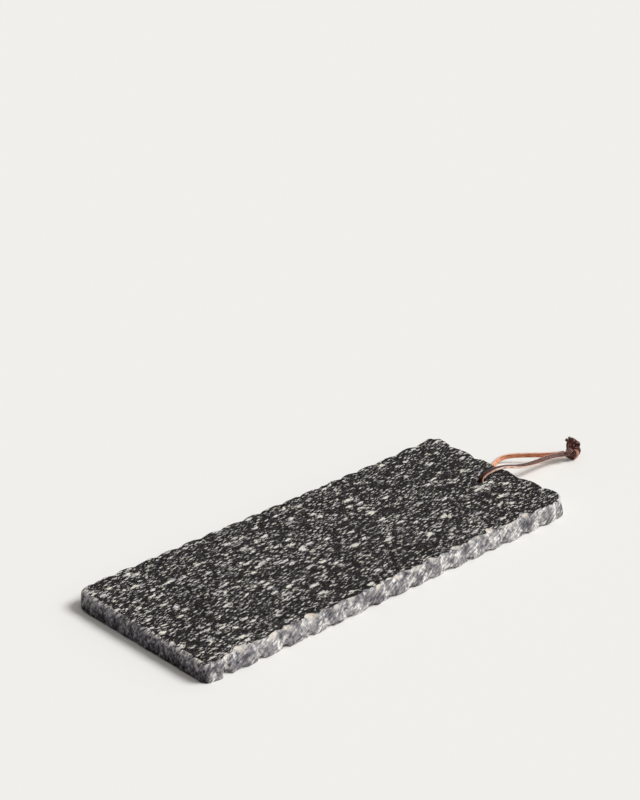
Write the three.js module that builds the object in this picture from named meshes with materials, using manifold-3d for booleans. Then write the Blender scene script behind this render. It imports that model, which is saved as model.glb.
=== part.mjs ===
// Granite serving board with a leather hanging thong, in millimetres, +Z up.
// The origin is at the middle of the stone's underside and +X runs to the hanging hole.

import * as THREE from 'three';
import { mergeVertices } from 'three/addons/utils/BufferGeometryUtils.js';
import Module from 'manifold-3d';

// Stone slab
const LENGTH = 376;
const WIDTH = 153;
const THICKNESS = 14;
const CORNER_RADIUS = 9;
const WORN_CORNER_RADIUS = 16; // the two corners that are knocked off further

// Chiselled edge: flutes bulge between sharp notches and lean back to the top face
const FLUTE_PITCH = 20.8;
const FLUTE_START = -3; // from the start of the far end's straight to the first notch
const FLUTE_STRAY = 0.24; // how far a notch strays from an even spacing, in pitches
const FLUTE_STEPS = 6;
const NOTCH_DEPTH = 2.1;
const NOTCH_DEPTH_NEAR_END = 0.7;
const SIDE_BATTER = 2.6;
const NEAR_END_BATTER = 0.6;
const TOP_ARRIS = 1.5;
const BOTTOM_ARRIS = 1.2;
const ARRIS_SETBACK = 0.9;

// Hanging hole near the far end
const HOLE_DIAMETER = 7;
const HOLE_SETBACK = 31;
const HOLE_OFFSET = -6;
const HOLE_EASE = 1.1;
const HOLE_SIDES = 32;
const CUT_OVERSHOOT = 1;

// Leather thong, a flat strip
const THONG_WIDTH = 4;
const THONG_THICKNESS = 2.3;
const THONG_CORNER = 0.45;
const STRETCH_GAP = 0.3;
const HOLE_CLEARANCE = 0.35;
const TABLE_CLEARANCE = 0.4;
const BEND_RADIUS = 3;
const LOWER_STEPS = 22;
const BIGHT_STEPS = 34;
const UPPER_STEPS = 20;
const CURVE_DIVISIONS = 40;

// Channel under the stone, in which the thong runs from the hole to the far end
const CHANNEL_HEADING = THREE.MathUtils.degToRad(31);
const CHANNEL_SIDE_CLEARANCE = 0.7;
const CHANNEL_TOP_CLEARANCE = 0.6;

// Overhand knot, tied in both strands together
const KNOT_REACH = 62.4; // from the stone's far end to where the strands enter the knot
const KNOT_ENTRY_ACROSS = -5.6;
const KNOT_ENTRY_HEIGHT = 7.6;
const KNOT_ENTRY_HEADING = THREE.MathUtils.degToRad(-28);
const KNOT_ENTRY_STRAIGHT = 5;
const KNOT_ENTRY_ROLL = 80; // degrees: both strands stand on edge there
const KNOT_CORD = 3.2; // both strands pressed together
const KNOT_GAP = 0.7;
const KNOT_MOUTH_GAP = 0.45;
const KNOT_EYE = 2.3;
const KNOT_STRETCH = 1.32; // the knot is taller than it is long
const KNOT_LEAD = 7.7; // from the entry to the middle of the knot
const KNOT_SHIFT = 2.2;
const KNOT_FIRST_ANGLE = 0.6;
const KNOT_LAST_ANGLE = 4 * Math.PI - 2.07;
const KNOT_EXIT_RUN = 2; // on from the last turn, and then up behind the outer turn
const KNOT_EXIT_WAY = [-0.45, 0.45, 0.78]; // along the entry, aside and up
const KNOT_POINTS = 45;
const KNOT_STEPS = 56;
const KNOT_SIDES = 8;
const KNOT_GAP_SAMPLES = 300;

// Cut tails beyond the knot
const TAIL_LENGTH = 2.6;
const TAIL_SPREAD = 0.35; // lean of each tail away from the other, rise over run
const TAIL_ROLL = 90; // degrees
const TAIL_STEPS = 4;

const wasm = await Module();
wasm.setup();

const farEnd = LENGTH / 2;
const topEdge = farEnd - SIDE_BATTER - ARRIS_SETBACK;
const hole = new THREE.Vector2(farEnd - HOLE_SETBACK, HOLE_OFFSET);
const channelDepth = TABLE_CLEARANCE + THONG_THICKNESS + CHANNEL_TOP_CLEARANCE;

const granite = new THREE.MeshStandardMaterial({ color: 0x4a4947, roughness: 0.6, metalness: 0 });
const leather = new THREE.MeshStandardMaterial({ color: 0x8a5238, roughness: 0.6, metalness: 0 });
const darkLeather = new THREE.MeshStandardMaterial({ color: 0x4a2c22, roughness: 0.55, metalness: 0 });

// Closed solids for cutting

function toSolid(geometry) {
  const bare = geometry.clone();
  bare.deleteAttribute('normal');
  bare.deleteAttribute('uv');
  const merged = mergeVertices(bare);
  const vertProperties = new Float32Array(merged.attributes.position.array);
  const triVerts = new Uint32Array(merged.index.array);
  return new wasm.Manifold(new wasm.Mesh({ numProp: 3, vertProperties, triVerts }));
}

function toGeometry(solid) {
  const { vertProperties, triVerts } = solid.getMesh();
  const geometry = new THREE.BufferGeometry();
  geometry.setAttribute('position', new THREE.BufferAttribute(vertProperties, 3));
  geometry.setIndex(new THREE.BufferAttribute(triVerts, 1));
  geometry.computeVertexNormals();
  return geometry;
}

// A skin over rings of points, each as long as the next, closed by a flat cap at both ends.
function loft(rings) {
  const count = rings[0].length;
  const positions = rings.flat().flatMap((point) => [point.x, point.y, point.z]);
  const faces = [];
  for (let ring = 0; ring + 1 < rings.length; ring += 1) {
    for (let i = 0; i < count; i += 1) {
      const here = ring * count + i;
      const next = ring * count + ((i + 1) % count);
      faces.push(here, next, next + count, here, next + count, here + count);
    }
  }
  const capOf = (ring) => THREE.ShapeUtils.triangulateShape(ring.map((p) => new THREE.Vector2(p.x, p.y)), []);
  const lastRing = (rings.length - 1) * count;
  capOf(rings[0]).forEach(([a, b, c]) => faces.push(a, c, b));
  capOf(rings.at(-1)).forEach(([a, b, c]) => faces.push(lastRing + a, lastRing + b, lastRing + c));
  const geometry = new THREE.BufferGeometry();
  geometry.setAttribute('position', new THREE.Float32BufferAttribute(positions, 3));
  geometry.setIndex(faces);
  return geometry;
}

// Stone slab

// Opposite corners share a radius: the plain one at far left and near right, the worn one at the others.
function slabOutline() {
  const x = LENGTH / 2;
  const y = WIDTH / 2;
  const plain = CORNER_RADIUS;
  const worn = WORN_CORNER_RADIUS;
  const shape = new THREE.Shape();
  shape.moveTo(x, worn - y);
  shape.lineTo(x, y - plain);
  shape.absarc(x - plain, y - plain, plain, 0, Math.PI / 2);
  shape.lineTo(worn - x, y);
  shape.absarc(worn - x, y - worn, worn, Math.PI / 2, Math.PI);
  shape.lineTo(-x, plain - y);
  shape.absarc(plain - x, plain - y, plain, Math.PI, Math.PI * 1.5);
  shape.lineTo(x - worn, -y);
  shape.absarc(x - worn, worn - y, worn, Math.PI * 1.5, Math.PI * 2);
  return shape;
}

// A steady value from 0 to 1 for each whole number, for hand-made unevenness.
function uneven(number) {
  const wave = Math.sin(number * 12.9898) * 43758.5453;
  return wave - Math.floor(wave);
}

// The edge seen from above: for each point its place, outward normal, notch depth and batter.
function chiselledEdge() {
  const outline = slabOutline();
  const around = outline.getLength();
  const flutes = Math.round(around / FLUTE_PITCH);
  const notchAt = (k) => FLUTE_START / around + (k + FLUTE_STRAY * (uneven(k % flutes) - 0.5)) / flutes;
  const edge = [];
  for (let k = 0; k < flutes; k += 1) {
    for (let step = 0; step < FLUTE_STEPS; step += 1) {
      const along = step / FLUTE_STEPS;
      const share = (THREE.MathUtils.lerp(notchAt(k), notchAt(k + 1), along) + 1) % 1;
      const place = outline.getPoint(share);
      const tangent = outline.getTangent(share);
      const normal = new THREE.Vector2(tangent.y, -tangent.x);
      const nearEnd = THREE.MathUtils.smoothstep(-normal.x, 0.3, 0.95);
      const depth = THREE.MathUtils.lerp(NOTCH_DEPTH, NOTCH_DEPTH_NEAR_END, nearEnd);
      const batter = THREE.MathUtils.lerp(SIDE_BATTER, NEAR_END_BATTER, nearEnd);
      edge.push({ place, normal, notch: depth * (1 - Math.sin(Math.PI * along)), batter });
    }
  }
  return edge;
}

function slabBlank() {
  const edge = chiselledEdge();
  const shoulder = THICKNESS - TOP_ARRIS;
  const levels = [
    { height: 0, lean: 0, setback: ARRIS_SETBACK },
    { height: BOTTOM_ARRIS, lean: 0, setback: 0 },
    { height: shoulder, lean: shoulder / THICKNESS, setback: 0 },
    { height: THICKNESS, lean: 1, setback: ARRIS_SETBACK },
  ];
  return loft(levels.map(({ height, lean, setback }) => edge.map(({ place, normal, notch, batter }) => {
    const inset = notch + lean * batter + setback;
    return new THREE.Vector3(place.x - normal.x * inset, place.y - normal.y * inset, height);
  })));
}

// The hole's mouths are eased, the lower one from the channel's ceiling, so that no edge cuts the leather.
function holeCutter() {
  const radius = HOLE_DIAMETER / 2;
  const mouth = radius + HOLE_EASE;
  const profile = [
    [0, -CUT_OVERSHOOT],
    [mouth, -CUT_OVERSHOOT],
    [mouth, channelDepth],
    [radius, channelDepth + HOLE_EASE],
    [radius, THICKNESS - HOLE_EASE],
    [mouth + CUT_OVERSHOOT, THICKNESS + CUT_OVERSHOOT],
    [0, THICKNESS + CUT_OVERSHOOT],
  ].map(([r, z]) => new THREE.Vector2(r, z));
  const cutter = new THREE.LatheGeometry(profile, HOLE_SIDES);
  cutter.rotateX(Math.PI / 2);
  cutter.translate(hole.x, hole.y, 0);
  return cutter;
}

function channelCutter(start) {
  const half = THONG_WIDTH / 2 + CHANNEL_SIDE_CLEARANCE;
  const run = (farEnd - start.x + half + CUT_OVERSHOOT) / Math.cos(CHANNEL_HEADING);
  const outline = new THREE.Shape();
  outline.moveTo(0, -half);
  outline.lineTo(run, -half);
  outline.lineTo(run, half);
  outline.lineTo(0, half);
  outline.absarc(0, 0, half, Math.PI / 2, Math.PI * 1.5);
  const depth = channelDepth + CUT_OVERSHOOT;
  const curveSegments = HOLE_SIDES / 4;
  const cutter = new THREE.ExtrudeGeometry(outline, { depth, bevelEnabled: false, curveSegments });
  cutter.rotateZ(CHANNEL_HEADING);
  cutter.translate(start.x, start.y, -CUT_OVERSHOOT);
  return cutter;
}

// Thong route

// The strip stands in the hole against the wall that the loop pulls it to.
function thongSeat() {
  const wall = Math.sqrt((HOLE_DIAMETER / 2) ** 2 - (THONG_WIDTH / 2) ** 2);
  const reach = wall - HOLE_CLEARANCE - THONG_THICKNESS / 2;
  const pull = CHANNEL_HEADING / 2;
  return new THREE.Vector2(hole.x + reach * Math.cos(pull), hole.y + reach * Math.sin(pull));
}

const seat = thongSeat();
const low = TABLE_CLEARANCE + THONG_THICKNESS / 2;
const plyOffset = (THONG_THICKNESS + STRETCH_GAP) / 2;
const knotEntry = new THREE.Vector3(farEnd + KNOT_REACH, hole.y + KNOT_ENTRY_ACROSS, KNOT_ENTRY_HEIGHT);
const entryWay = new THREE.Vector3(Math.cos(KNOT_ENTRY_HEADING), Math.sin(KNOT_ENTRY_HEADING), 0);
const entrySide = new THREE.Vector3(-entryWay.y, entryWay.x, 0);

// A point of one strand beside the other, a distance short of the knot: side 1 is the lower strand.
function besideKnot(side, distance) {
  const point = knotEntry.clone().addScaledVector(entryWay, -distance);
  point.addScaledVector(entrySide, side * plyOffset);
  return [...point.toArray(), -side * KNOT_ENTRY_ROLL];
}

// A point under the stone, a distance from the seat along the channel.
function inChannel(distance, height, roll) {
  const x = seat.x + distance * Math.cos(CHANNEL_HEADING);
  const y = seat.y + distance * Math.sin(CHANNEL_HEADING);
  return [x, y, height, roll];
}

// From the knot back to the stone: reach beyond the far end, across from the hole, height, roll in degrees.
const lowerRoute = [
  besideKnot(1, 0),
  besideKnot(1, KNOT_ENTRY_STRAIGHT / 2),
  besideKnot(1, KNOT_ENTRY_STRAIGHT),
  ...[
    [53, 2, 7.6, -80],
    [47.6, 6, 7.5, -80],
    [41.8, 11.6, 7.3, -80],
    [36.2, 17.6, 6.8, -80],
    [30.4, 23, 6.2, -78],
    [25.2, 26.8, 5.3, -75],
    [20.6, 28, 4.4, -70],
    [15.2, 27, 3.6, -62],
    [8, 23, 2.75, -38],
  ].map(([reach, across, height, roll]) => [farEnd + reach, hole.y + across, height, roll]),
];

// In the channel, up through the hole and over the top face to the stone's upper edge.
const exitRun = (farEnd + ARRIS_SETBACK - seat.x) / Math.cos(CHANNEL_HEADING);
const kneeShare = 1 - Math.SQRT1_2;
const over = THICKNESS + THONG_THICKNESS / 2;
const bightRoute = [
  inChannel(exitRun, low, -5),
  inChannel((exitRun + BEND_RADIUS) / 2, low, 0),
  inChannel(BEND_RADIUS, low, 0),
  inChannel(BEND_RADIUS * kneeShare, low + BEND_RADIUS * kneeShare, 0),
  inChannel(0, low + BEND_RADIUS, 0),
  [seat.x, seat.y, THICKNESS - 1.8, 0],
  [seat.x + 0.5, seat.y + 0.1, over - 0.7, 0],
  [seat.x + 2.6, seat.y + 0.3, over + 0.7, 0],
  [seat.x + 5.7, seat.y + 0.5, over + 1.55, 0],
  [seat.x + 10.7, seat.y + 0.7, over + 2, 0],
  [seat.x + 16.7, seat.y + 0.8, over + 1.85, -4],
  [seat.x + 22.3, seat.y + 0.6, over + 1.3, -8],
  [topEdge, seat.y + 0.2, over + 0.8, -8],
];

// On to the knot: reach, across, height above a line that sinks from the top face to the table, roll.
const upperRoute = [
  [2.3, -0.8, 1.4, -4],
  [10.3, -2.2, 0.95, 6],
  [19.2, -2.9, 1.2, 14],
  [29.2, -2.9, 2.2, 24],
  [38.9, -2.7, 3.7, 40],
  [48.6, -3, 5.4, 62],
].map(([reach, across, above, roll]) => {
  const line = THICKNESS * (1 - reach / KNOT_REACH);
  return [farEnd + reach, hole.y + across, line + above, roll];
}).concat([
  besideKnot(-1, KNOT_ENTRY_STRAIGHT),
  besideKnot(-1, KNOT_ENTRY_STRAIGHT / 2),
  besideKnot(-1, 0),
]);

// One smooth curve whose flat section keeps its width level, apart from the roll given at its points.
class ThongPath extends THREE.CatmullRomCurve3 {
  constructor(route) {
    super(route.map(([x, y, z]) => new THREE.Vector3(x, y, z)), false, 'centripetal');
    this.rolls = route.map((point) => THREE.MathUtils.degToRad(point[3]));
    this.arcLengthDivisions = CURVE_DIVISIONS * (route.length - 1);
  }

  shareAt(index) {
    const lengths = this.getLengths();
    return lengths[index * CURVE_DIVISIONS] / lengths.at(-1);
  }

  sideAt(share) {
    const place = this.getUtoTmapping(share) * (this.rolls.length - 1);
    const before = Math.min(Math.floor(place), this.rolls.length - 2);
    const roll = THREE.MathUtils.lerp(this.rolls[before], this.rolls[before + 1], place - before);
    const tangent = this.getTangentAt(share);
    const level = new THREE.Vector3(0, 1, 0).addScaledVector(tangent, -tangent.y).normalize();
    return level.applyAxisAngle(tangent, roll);
  }
}

// Part of a thong path, between two shares of its length.
class Stretch extends THREE.Curve {
  constructor(path, from, to) {
    super();
    this.path = path;
    this.shareOf = (t) => THREE.MathUtils.lerp(from, to, t);
  }

  getPoint(t) {
    return this.path.getPointAt(this.shareOf(t));
  }

  computeFrenetFrames(steps) {
    const frames = { tangents: [], normals: [], binormals: [] };
    for (let i = 0; i <= steps; i += 1) {
      const share = this.shareOf(i / steps);
      const tangent = this.path.getTangentAt(share);
      const normal = this.path.sideAt(share);
      frames.tangents.push(tangent);
      frames.normals.push(normal);
      frames.binormals.push(new THREE.Vector3().crossVectors(tangent, normal));
    }
    return frames;
  }
}

// A flat strip with its four corners cut off.
function thongSection() {
  const x = THONG_WIDTH / 2;
  const y = THONG_THICKNESS / 2;
  const c = THONG_CORNER;
  const half = [[x, c - y], [x, y - c], [x - c, y], [c - x, y]];
  const corners = [...half, ...half.map(([u, v]) => [-u, -v])];
  return new THREE.Shape(corners.map(([u, v]) => new THREE.Vector2(u, v)));
}

function thongStretch(path, from, to, steps) {
  const extrudePath = new Stretch(path, from, to);
  return new THREE.ExtrudeGeometry(thongSection(), { steps, extrudePath });
}

// Overhand knot

// A step in the knot: along the way that the strands enter it, aside and up.
function knotStep(along, aside, up) {
  return new THREE.Vector3(0, 0, up).addScaledVector(entryWay, along).addScaledVector(entrySide, aside);
}

// Two passes twist about a ring through three half turns: a closed overhand knot. The lobe towards
// the strands is left open, and the ends run out there. The ring stands on the table, along the strands.
function knotPoints() {
  const core = (KNOT_CORD + KNOT_GAP) / 2;
  const ring = KNOT_EYE + core;
  const middle = knotEntry.clone().setZ(0).add(knotStep(KNOT_LEAD, KNOT_SHIFT, 0));
  const points = [];
  for (let i = 0; i < KNOT_POINTS; i += 1) {
    const angle = THREE.MathUtils.lerp(KNOT_FIRST_ANGLE, KNOT_LAST_ANGLE, i / (KNOT_POINTS - 1));
    const radius = ring + core * Math.cos(1.5 * angle);
    const height = -KNOT_STRETCH * radius * Math.sin(angle);
    points.push(knotStep(-radius * Math.cos(angle), -core * Math.sin(1.5 * angle), height).add(middle));
  }
  const lowest = Math.min(...points.map((point) => point.z));
  const lift = TABLE_CLEARANCE + KNOT_CORD / 2 - lowest;
  points.forEach((point) => point.setZ(point.z + lift));
  const mouth = knotEntry.clone().addScaledVector(entryWay, KNOT_MOUTH_GAP);
  const throat = mouth.clone().addScaledVector(entryWay, KNOT_CORD / 3);
  const onward = points.at(-1).clone().sub(points.at(-2)).normalize();
  const turn = points.at(-1).clone().addScaledVector(onward, KNOT_EXIT_RUN);
  const exit = knotStep(...KNOT_EXIT_WAY).normalize();
  const rise = [0.5, 1].map((share) => turn.clone().addScaledVector(exit, share * KNOT_CORD));
  return [mouth, throat, ...points, turn, ...rise];
}

// The least distance between two passes of a tube, two diameters or more apart along it.
function leastSelfGap(curve, diameter) {
  const points = curve.getSpacedPoints(KNOT_GAP_SAMPLES);
  const apart = Math.ceil((2 * diameter * KNOT_GAP_SAMPLES) / curve.getLength());
  let least = Infinity;
  for (let i = 0; i < points.length; i += 1) {
    for (let j = i + apart; j < points.length; j += 1) {
      least = Math.min(least, points[i].distanceTo(points[j]) - diameter);
    }
  }
  return least;
}

function polygon(diameter, sides) {
  const corners = [];
  for (let i = 0; i < sides; i += 1) {
    const angle = (2 * Math.PI * (i + 0.5)) / sides;
    corners.push(new THREE.Vector2(Math.cos(angle), Math.sin(angle)).multiplyScalar(diameter / 2));
  }
  return new THREE.Shape(corners);
}

// Assembly

const board = new THREE.Group();

function addPart(name, geometry, material) {
  const mesh = new THREE.Mesh(geometry, material);
  mesh.name = name;
  board.add(mesh);
}

const slab = toSolid(slabBlank()).subtract(toSolid(holeCutter())).subtract(toSolid(channelCutter(seat)));
addPart('granite_slab', toGeometry(slab), granite);

const thong = new ThongPath([...lowerRoute, ...bightRoute, ...upperRoute]);
const halfGap = STRETCH_GAP / 2 / thong.getLength();
const underCut = thong.shareAt(lowerRoute.length);
const overCut = thong.shareAt(lowerRoute.length + bightRoute.length - 1);
addPart('lower_strand', thongStretch(thong, 0, underCut - halfGap, LOWER_STEPS), leather);
addPart('thong_bight', thongStretch(thong, underCut + halfGap, overCut - halfGap, BIGHT_STEPS), leather);
addPart('upper_strand', thongStretch(thong, overCut + halfGap, 1, UPPER_STEPS), leather);

const knot = new THREE.CatmullRomCurve3(knotPoints(), false, 'centripetal');
const knotTube = { steps: KNOT_STEPS, extrudePath: knot };
addPart('overhand_knot', new THREE.ExtrudeGeometry(polygon(KNOT_CORD, KNOT_SIDES), knotTube), darkLeather);
console.log(`least gap of the knot to itself: ${leastSelfGap(knot, KNOT_CORD).toFixed(2)} mm`);
console.log(`thong from knot to knot: ${thong.getLength().toFixed(1)} mm`);

// Each tail goes on from the knot's end face and leans away from the other.
const knotEnd = knot.getPoint(1);
const knotOut = knot.getTangent(1);
const apart = new THREE.Vector3(0, 1, 0).addScaledVector(knotOut, -knotOut.y).normalize();
[['near_tail', -1], ['far_tail', 1]].forEach(([name, side]) => {
  const root = knotEnd.clone().addScaledVector(knotOut, STRETCH_GAP).addScaledVector(apart, side * plyOffset);
  const along = (distance, lean) => {
    const point = root.clone().addScaledVector(knotOut, distance);
    point.addScaledVector(apart, side * lean * distance);
    return [...point.toArray(), TAIL_ROLL];
  };
  const middle = along(TAIL_LENGTH / 2, TAIL_SPREAD / 2);
  const tail = new ThongPath([along(0, 0), middle, along(TAIL_LENGTH, TAIL_SPREAD)]);
  addPart(name, thongStretch(tail, 0, 1, TAIL_STEPS), darkLeather);
});

export default board;
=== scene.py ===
"""Granite serving board with a leather hanging thong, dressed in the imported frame.

Places and sizes are in millimetres, +Z up, and become metres when a mesh is made.
"""

import math

import bpy
import numpy as np
from mathutils import Matrix, Vector, noise


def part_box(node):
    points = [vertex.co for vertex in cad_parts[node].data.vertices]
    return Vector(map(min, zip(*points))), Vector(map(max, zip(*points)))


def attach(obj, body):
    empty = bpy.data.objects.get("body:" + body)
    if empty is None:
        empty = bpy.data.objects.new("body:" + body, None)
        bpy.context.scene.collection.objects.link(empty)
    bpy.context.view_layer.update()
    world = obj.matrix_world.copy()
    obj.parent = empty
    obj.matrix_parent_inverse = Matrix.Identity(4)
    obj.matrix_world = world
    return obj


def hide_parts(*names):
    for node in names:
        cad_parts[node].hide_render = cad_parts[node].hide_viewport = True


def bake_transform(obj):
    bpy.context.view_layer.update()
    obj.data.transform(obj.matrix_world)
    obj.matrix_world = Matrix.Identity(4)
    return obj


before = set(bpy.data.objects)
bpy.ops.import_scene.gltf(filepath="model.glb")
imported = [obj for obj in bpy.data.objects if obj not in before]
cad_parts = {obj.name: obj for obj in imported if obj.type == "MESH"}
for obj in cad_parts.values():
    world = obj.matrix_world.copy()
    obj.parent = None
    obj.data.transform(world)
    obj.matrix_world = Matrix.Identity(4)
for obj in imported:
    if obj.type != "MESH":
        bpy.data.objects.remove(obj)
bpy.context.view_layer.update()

MM = 0.001

# Stone slab, from the frame
slab_low, slab_high = (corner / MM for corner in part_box("granite_slab"))
LENGTH = slab_high.x - slab_low.x
WIDTH = slab_high.y - slab_low.y
THICKNESS = slab_high.z
FAR_END = slab_high.x
CORNER_RADIUS = 9
WORN_CORNER_RADIUS = 16
CORNER_STEPS = 24
SHARP_ANGLE = math.radians(38)

# Chiselled edge: flutes round the outline, with a notch between each two
FLUTE_PITCH = 20.8
FLUTE_START = -3
FLUTE_STRAY = 0.24
FLUTE_COLUMNS = 28
NOTCH_DEPTH = 2.8
NOTCH_DEPTH_NEAR_END = 0.7
NOTCH_SHARPNESS = 1.1
NOTCH_FOOT = 0.5
SIDE_BATTER = 2.6
NEAR_END_BATTER = 0.6
SIDE_LEVELS = 22
CRUSH_WIDTH = 3
CRUSH_STRENGTH = (0.1, 0.5)

# Notches of the far end and its corners: shift along the edge and share of the usual depth
FAR_NOTCHES = {
    0: (0, 0),
    1: (-8.3, 1.2),
    4: (5.1, 1.3),
    5: (12.5, 1.9),
    6: (5, 0),
    7: (0, 0),
    8: (-3.5, 1.6),
}

# Far corners, which lean less than the sides and are rounder at the top
FAR_CORNER_REACH = (24, 56)
FAR_CORNER_FILL = 0.6
FAR_CORNER_ROUNDING = 2.2

# Eased edges at the top and bottom of the sides
TOP_ARRIS = 1.5
BOTTOM_ARRIS = 1.2
ARRIS_SETBACK = 0.9
ARRIS_CURVE = 1.5
NEAR_END_ARRIS = 3
NEAR_END_ARRIS_DROP = 2.1
FACE_INSET = 0.5
FACE_MARGIN = 30

# How squarely the edge faces the near end or the front, where a change begins and where it is full
NEAR_END_TURN = (0.3, 0.95)
SHADED_END_TURN = (0.1, 0.9)
FRONT_TURN = (0, 0.7)

# Chips out of the top and bottom edges, one to a flute: least and most of each measure
TOP_CHIP_CENTRE = (0.3, 0.7)
TOP_CHIP_HALF = (0.2, 0.42)
TOP_CHIP_REACH = (0.8, 7.3)
TOP_CHIP_RARITY = 1.7
TOP_CHIP_DROP = (3, 7)
TOP_CHIP_CURVE = 1.6
BACK_CHIPS = 0.25
NEAR_END_CHIPS = 0.4
LOW_CHIP_CENTRE = (0.12, 0.24)
LOW_CHIP_HALF = (0.1, 0.22)
LOW_CHIP_REACH = (3.5, 6)
LOW_CHIP_RISE = (1.8, 3)
LOW_CHIP_CURVE = 0.5
LOW_CHIP_INLAND = (25, 45)

# One deep chip out of the front's bottom edge
DEEP_CHIP_SETBACK = 20
DEEP_CHIP_HALF = 5
DEEP_CHIP_REACH = 6
DEEP_CHIP_CURVE = 1.5
DEEP_CHIP_CRUSH = 0.4
DEEP_CHIP_FACING = 0.9

# Chisel blows all over the sides
HEWN_DEPTH = 0.55
HEWN_PROUD = 0.4
HEWN_SIZE = 6.5
HEWN_SMOOTHNESS = 0.9
HEWN_FINER = 2.1
HEWN_LAYERS = 4

# How strongly the marks of the sides show in the stone's colours
CHIP_MARK = 1.4
ARRIS_MARK = 0.3
NEAR_END_CHIP_LOSS = 0.8
# Away from its worn arris the near end keeps little of the pale broken colour and takes a darker
# mottle: painted shade of the face turned from the sun
SHADED_END_BROKEN_LOSS = 0.7
SHADED_END_MARK = 0.85

# Hanging hole and the channel under it
HOLE_DIAMETER = 7
HOLE_SETBACK = 31
HOLE_OFFSET = -6
HOLE_EASE = 1.1
HOLE_SIDES = 48
HOLE_CLEARANCE = 0.35
CHANNEL_HEADING = math.radians(31)
CHANNEL_HALF = 2.7
CHANNEL_DEPTH = 3.3
CHANNEL_END_POINTS = 17
CUT_OVERSHOOT = 1

# Leather thong, a flat strip, and the material slots of its sides
OUTSIDE, INSIDE, EDGE = range(3)
THONG_WIDTH = 4
THONG_THICKNESS = 2.3
THONG_STRAY = 0.05
STRAY_PACE = 0.3
STRAY_SEED = 0.5
STRIP_ROUNDING = 0.28
CORNER_POINTS = 4
FACE_START = 0.6
STRETCH_GAP = 0.3
TABLE_CLEARANCE = 0.4
BEND_RADIUS = 3
SPAN_STEPS = 8

# Lower strand from the knot back to the stone: past the far end, across from the hole, height, roll
LOWER_POINTS = (
    (53, 2, 7.6, -80),
    (47.6, 6, 7.5, -80),
    (41.8, 11.6, 7.3, -80),
    (36.2, 17.6, 6.8, -80),
    (30.4, 23, 6.2, -78),
    (25.2, 26.8, 5.3, -75),
    (20.6, 28, 4.4, -70),
    (15.2, 27, 3.6, -62),
    (8, 23, 2.75, -38),
)
CHANNEL_EXIT_ROLL = -5
# Bight from the hole over the stone: past its seat, across from it, height over the top, roll
BIGHT_TOP_DROP = 1.8
BIGHT_POINTS = (
    (0.5, 0.1, -0.7, 0),
    (2.6, 0.3, 0.7, 0),
    (5.7, 0.5, 1.55, 0),
    (10.7, 0.7, 2, 0),
    (16.7, 0.8, 1.85, -4),
    (22.3, 0.6, 1.3, -8),
)
# Where the bight passes over the stone's edge: across from its seat, height over the top, roll
BIGHT_EDGE = (0.2, 0.8, -8)
# Upper strand: past the far end, across from the hole, height over a slope to the table, roll
UPPER_POINTS = (
    (2.3, -0.8, 1.4, -4),
    (10.3, -2.2, 0.95, 6),
    (19.2, -2.9, 1.2, 14),
    (29.2, -2.9, 2.2, 24),
    (38.9, -2.7, 3.7, 36),
    (48.6, -3, 5.4, 42),
)
# Two stretches of each strand between the board and the loop, past the far end
LOWER_BEND = (2, 56)
UPPER_BEND = (-10, 9)

# Overhand knot, tied in both strands together
KNOT_REACH = 62.4
KNOT_ENTRY_ACROSS = -5.6
KNOT_ENTRY_HEIGHT = 7.6
KNOT_ENTRY_HEADING = math.radians(-28)
KNOT_ENTRY_STRAIGHT = 5
KNOT_ENTRY_ROLL = 80
KNOT_CORD = 3.2
KNOT_GAP = 0.7
KNOT_EYE = 2.3
KNOT_STRETCH = 1.32
KNOT_LEAD = 7.7
KNOT_SHIFT = 2.2
KNOT_TWIST = 1.5
KNOT_FIRST_ANGLE = 0.6
KNOT_LAST_ANGLE = 4 * math.pi - 2.07
KNOT_EXIT_RUN = 2
KNOT_EXIT_WAY = (-0.45, 0.45, 0.78)
KNOT_POINTS = 45
KNOT_TUCK = ((2, -1.7, 1.2), (4.3, -1.5, 3), (6.2, 0, 3.6))
KNOT_TUCK_ROLL = 42

# The knot's band: both strips pressed side by side, widest at its cap, with one bare stretch
KNOT_BAND = 4.8
KNOT_BAND_THICKNESS = 3
KNOT_BAND_SPREAD = 0.85
KNOT_CAP = 5
KNOT_CAP_REACH = 1.3
KNOT_PLUMPNESS = 0.7
KNOT_THINNEST = 0.8
KNOT_BARE = (8.3, 10)
KNOT_BARE_FROM = 0.4
KNOT_STRAY = 0.12
BAND_POINTS = 32
BAND_GROOVE = 0.22
BAND_GROOVE_HALF = 0.16
BAND_FACE_CURVE = 0.85
BAND_SIDE_CURVE = 0.9

# Cut tails beyond the knot
TAIL_LENGTH = 3.4
TAIL_THICKNESS = 1.7
TAIL_SPACING = 0.7
TAIL_SPLAY = 0.2
TAIL_TUCK = 0.3
TAIL_POINTS = 9

# Granite: grains are flattened across one direction, streaks of the broken sides across another
FOLIATION = Vector((0.126, -0.981, -0.150))
STREAK_LAYERS = Vector((-0.376, 0.721, 0.582))
# The grids of flattened patterns are tilted and shifted, so that they lie along no face
GRID_TILT = (0.7, 0.4, 0.9)
GRID_SHIFT = (317, 331, 347)
# Cells per millimetre, flatness, size in cells, share of cells and strength of each sort of grain
GRAINS = (
    (0.55, 4.5, 0.42, 0.28, 0.18),
    (0.33, 4, 0.42, 0.29, 0.92),
    (0.2, 3.4, 0.42, 0.33, 0.97),
    (0.105, 2.4, 0.4, 0.26, 0.97),
    (0.07, 2.2, 0.3, 0.26, 0.85),
)
GRAIN_WOBBLE = 0.7
GRAIN_CORE = 0.7
GRAIN_CHANCE_EDGE = 0.02
GRAIN_CROWDING = 0.05
BRUISE_CROWDING = 0.42
HONED_FLATNESS = 4
SHADED_END_FLATNESS = 1.4
STREAK_FLATNESS = 1.8
STREAK_SPREAD = 0.3
STREAK_SHARE = 0.6
PIT_DEPTH = 1.1
PIT_STRENGTH = 0.8
HONED_PITS = 0.06
GRANITE_ROUGHNESS = (0.55, 0.9)
GRANITE_GLOSS = 0.03

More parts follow.
